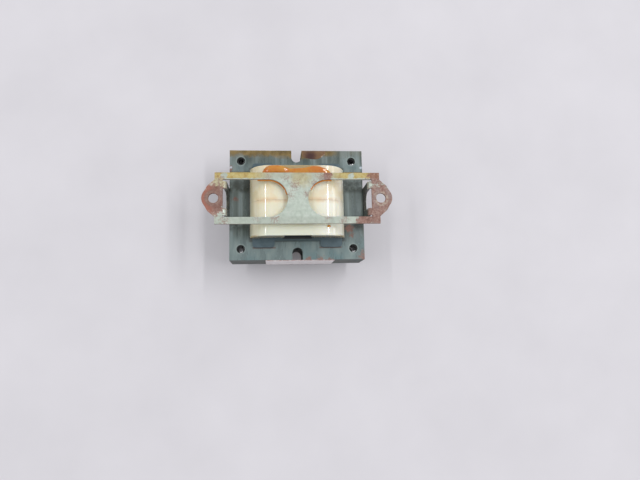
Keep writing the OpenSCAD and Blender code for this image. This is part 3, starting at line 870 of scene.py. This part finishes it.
# %% [markdown]
# ## Bracket, cover and bobbin
# Three pieces whose shape the CAD already has. The sheared edges of the bracket get a small round,
# the mouldings a larger one, and the cover's outer end edges the largest, as a mould leaves them.

# %% Bracket, cover and bobbin
bm = from_node("mounting_bracket")
print(round_edges(bm, 0.12), "bracket edges rounded")
make_piece(bm, "bracket_strap", bracket_zinc, ("mounting_bracket",))

WINDOW_HALF = 6.0
ARCH_HALF = 19.2
ARCH_RISE = 3.6


def outer_end_edge(edge, end_y):
    """Whether an edge runs round the outside of the cover's end, and not round its lead window."""
    on_end = all(abs(v.co.y) > end_y - 1e-5 for v in edge.verts)
    middle = (edge.verts[0].co + edge.verts[1].co) / 2 / MM
    from_axis = abs(middle.z - AXIS_Z)
    in_window = abs(middle.x) < WINDOW_HALF and from_axis < cover_high.z - AXIS_Z - 0.2
    under_arch = from_axis < FACE_Z - AXIS_Z + ARCH_RISE and abs(middle.x) < ARCH_HALF
    return on_end and not in_window and not under_arch


for node, name in (("coil_cover_front", "cover_front"), ("coil_cover_rear", "cover_rear")):
    bm = from_node(node)
    end_y = max(abs(v.y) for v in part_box(node))
    print(round_edges(bm, 0.4, 4, lambda e: outer_end_edge(e, end_y)), "outer end edges rounded")
    make_piece(bm, name, cover_cream, (node,))

bm = from_node("bobbin")
print(round_edges(bm, 0.14), "bobbin edges rounded")
make_piece(bm, "bobbin_moulding", bobbin_blue, ("bobbin",))

# %% [markdown]
# ## Rivets
# Four tubular rivets hold the sheets. Each is a turned profile, spun round its axis: a straight
# tube whose ends are rolled outward a little.

# %% Rivets
rivet_low, rivet_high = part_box("core_rivets")
RIVET_R = 1.62
RIVET_BORE = 0.95

bm = bmesh.new()
middle_z = (rivet_low.z + rivet_high.z) / 2
half_l = (rivet_high.z - rivet_low.z) / 2 / MM
for hole_x, hole_y in HOLES:
    start = Vector((hole_x * MM, hole_y * MM, middle_z))
    # radius and height above the middle of the rivet, in mm
    profile = [(RIVET_BORE, 0), (RIVET_BORE, half_l - 0.5), (RIVET_BORE + 0.12, half_l - 0.2),
               (RIVET_BORE + 0.34, half_l), (RIVET_R - 0.1, half_l - 0.08),
               (RIVET_R, half_l - 0.3), (RIVET_R - 0.12, half_l - 0.6), (RIVET_R - 0.12, 0)]
    ring = [bm.verts.new(start + Vector((radius, 0, height)) * MM) for radius, height in profile]
    strip = [bm.edges.new(pair) for pair in zip(ring, ring[1:])]
    bmesh.ops.spin(bm, geom=ring + strip, cent=start, axis=(0, 0, 1), angle=math.tau, steps=28,
                   use_merge=True)
bmesh.ops.mirror(bm, geom=bm.verts[:] + bm.edges[:] + bm.faces[:], axis="Z", merge_dist=1e-7,
                 matrix=Matrix.Translation((0, 0, -middle_z)))
bmesh.ops.remove_doubles(bm, verts=bm.verts, dist=1e-6)
bmesh.ops.recalc_face_normals(bm, faces=bm.faces)
make_piece(bm, "tubular_rivets", rivet_steel, ("core_rivets",))

# %% [markdown]
# ## Yoke plate
# A thin zinc-plated plate against the front of the core. It is a shallow box with rounded edges.

# %% Yoke plate
bm = from_node("yoke_plate")
round_edges(bm, 0.15)
make_piece(bm, "front_yoke_plate", zinc_plate, ("yoke_plate",))

# %% [markdown]
# ## Varnish bead
# The coil was dipped with its rear end down, and varnish gathered along the cover's rear edge. It is
# a long lump: thick and rounded on the left, a thin film in the middle, and a lower lump on the
# right. A ring is made at each of a few stations along it, as wide and as high as the lump is there,
# and the rings are bridged. Subdivision then makes the lump smooth.

# %% Varnish bead
TOP_Z = cover_high.z
SHOULDER_R = 9.35
SHOULDER_X = cover_high.x - SHOULDER_R
# place along X, front and rear limits in Y, and height over the cover, all in mm
BEAD_STATIONS = ((-14.6, 11.1, 11.7, 0.12), (-13.6, 10.9, 13.4, 0.45), (-12.0, 10.8, 14.5, 0.85),
                 (-9.0, 10.8, 14.65, 1.0), (-6.3, 10.8, 14.5, 0.95), (-4.6, 10.8, 13.7, 0.6),
                 (-3.2, 10.9, 13.1, 0.26), (0.5, 10.9, 13.3, 0.16), (3.4, 10.9, 13.6, 0.24),
                 (5.4, 10.8, 14.2, 0.5), (8.0, 10.8, 14.4, 0.65), (10.5, 10.8, 13.8, 0.5),
                 (12.6, 10.9, 12.9, 0.3), (14.0, 11.0, 11.6, 0.1))


def cover_top(x):
    """Height of the cover's outside at a distance from its middle."""
    past_shoulder = max(0.0, abs(x) - SHOULDER_X)
    return TOP_Z - SHOULDER_R + math.sqrt(SHOULDER_R ** 2 - past_shoulder ** 2)


def close_rings(bm, rings):
    """Bridges each ring to the next and closes both ends."""
    for one, other in zip(rings, rings[1:]):
        bmesh.ops.bridge_loops(bm, edges=ring_edges(one) + ring_edges(other))
    for ring in (rings[0], rings[-1]):
        bmesh.ops.contextual_create(bm, geom=ring_edges(ring))
    bmesh.ops.recalc_face_normals(bm, faces=bm.faces)


def ring_edges(ring):
    inside = set(ring)
    return [e for e in {e for v in ring for e in v.link_edges} if all(v in inside for v in e.verts)]


bm = bmesh.new()
rings = []
for x, front, rear, height in BEAD_STATIONS:
    matrix = (Matrix.Translation(Vector((x, (front + rear) / 2, cover_top(x) - 0.05)) * MM)
              @ Matrix.Rotation(math.pi / 2, 4, "Y")
              @ Matrix.Diagonal((height * MM, (rear - front) / 2 * MM, 1, 1)))
    rings.append(bmesh.ops.create_circle(bm, segments=14, radius=1, matrix=matrix)["verts"])
close_rings(bm, rings)
bead = make_piece(bm, "varnish_lump", amber_varnish, ("varnish_bead",))
smooth = bead.modifiers.new("smooth", "SUBSURF")
smooth.levels = 2
smooth.render_levels = 2
print(len(BEAD_STATIONS), "stations")

# %% [markdown]
# ## Varnish runs
# Varnish also set along the rear arcs of the bracket's two D-shaped openings, as a thin run under the
# sheet's edge. A small disc is drawn out along the straight part and then spun round the arc's centre.

# %% Varnish runs
ARC_X = 11.8
ARC_R = 7.55
RUN_R = 0.36
RUN_SIDES = 10
RUN_Z = PLATE_Z - 1.15


def varnish_run(side, arc_degrees, straight, name):
    """A run along the rear of one opening: a straight part and an arc towards the web."""
    bm = bmesh.new()
    centre = Vector((side * ARC_X, 0, RUN_Z)) * MM
    start = centre + Vector((side * straight, ARC_R, 0)) * MM
    matrix = Matrix.Translation(start) @ Matrix.Rotation(math.pi / 2, 4, "Y")
    ring = bmesh.ops.create_circle(bm, cap_ends=True, segments=RUN_SIDES, radius=RUN_R * MM,
                                   matrix=matrix)["verts"]
    grown = bmesh.ops.extrude_face_region(bm, geom=bm.faces[:])["geom"]
    far = [v for v in grown if isinstance(v, bmesh.types.BMVert)]
    bmesh.ops.translate(bm, verts=far, vec=Vector((-side * straight, 0, 0)) * MM)
    cap = [f for f in grown if isinstance(f, bmesh.types.BMFace)]
    turn = math.radians(side * arc_degrees)
    bmesh.ops.spin(bm, geom=cap, cent=centre, axis=(0, 0, 1), angle=turn, steps=16)
    bmesh.ops.remove_doubles(bm, verts=bm.verts, dist=1e-6)
    discs = [f for f in bm.faces if len(f.verts) == RUN_SIDES]
    inner = [f for f in discs if all(len(e.link_faces) > 2 for e in f.edges)]
    bmesh.ops.delete(bm, geom=inner, context="FACES_ONLY")
    bmesh.ops.recalc_face_normals(bm, faces=bm.faces)
    print(len(ring), "sides,", len(inner), "inner faces removed")
    return make_piece(bm, name, amber_varnish)


varnish_run(-1, 78, 4.5, "varnish_run_left")
varnish_run(1, 62, 2.0, "varnish_run_right")

# %% [markdown]
# ## Varnish drop and pool
# One drop fell on the cover in front of the bracket, and a dark pool dried on the rear yoke. Each is a
# ball squeezed flat, with a wavy outline. The pool is cut off where the yoke and its notch end.

# %% Varnish drop and pool


def flat_drop(centre, size, ragged, seed):
    """A flattened drop: a ball squeezed to size, with its outline pushed in and out."""
    bm = bmesh.new()
    bmesh.ops.create_icosphere(bm, subdivisions=4, radius=1)
    for vert in bm.verts:
        angle = math.atan2(vert.co.y, vert.co.x)
        sway = sum(math.sin(k * angle + seed * k) / k for k in (2, 3, 5))
        vert.co = Vector(c * s for c, s in zip(vert.co, size)) * (1 + ragged * sway)
        vert.co.z /= 1 + ragged * sway
    bmesh.ops.scale(bm, vec=(MM, MM, MM), verts=bm.verts)
    bmesh.ops.translate(bm, vec=Vector(centre) * MM, verts=bm.verts)
    return bm


bm = flat_drop((12.6, -11.0, cover_top(12.6)), (0.75, 0.55, 0.5), 0.05, 1)
make_piece(bm, "varnish_drop", amber_varnish)

bm = flat_drop(POOL_CENTRE, (5.4, 3.0, 0.13), 0.13, 4)
for point, normal in (((0, CORE_HALF_Y - 0.04, 0), (0, 1, 0)), ((POOL_LEFT, 0, 0), (-1, 0, 0))):
    cut = bmesh.ops.bisect_plane(bm, geom=bm.verts[:] + bm.edges[:] + bm.faces[:],
                                 plane_co=Vector(point) * MM, plane_no=normal,
                                 clear_outer=True)["geom_cut"]
    bmesh.ops.holes_fill(bm, edges=[g for g in cut if isinstance(g, bmesh.types.BMEdge)])
make_piece(bm, "varnish_pool", dark_varnish)

# %% [markdown]
# ## Pieces that keep their CAD shape
# The inner pieces and the terminals are right as they are, so their own nodes stay and only take
# a finish.

# %% Inner pieces
INNER = {
    plain_paper: ("gap_shims", "leg_insulation", "primary_wrap", "layer_papers"),
    cloth_tape: ("outer_wrap",),
    copper_wire: ("primary_winding", "secondary_winding", "primary_leads", "high_voltage_lead",
                  "earth_lead"),
    tinned_brass: ("primary_tags", "high_voltage_contact"),
    bright_zinc: ("earth_tag",),
    brown_socket: ("high_voltage_socket",),
    cover_cream: ("seam_adhesive",),
}
for finish, nodes in INNER.items():
    for name in nodes:
        mesh = frame["nodes"][name].data
        mesh.materials.clear()
        mesh.materials.append(finish)
        print(name, "gets", finish.name)
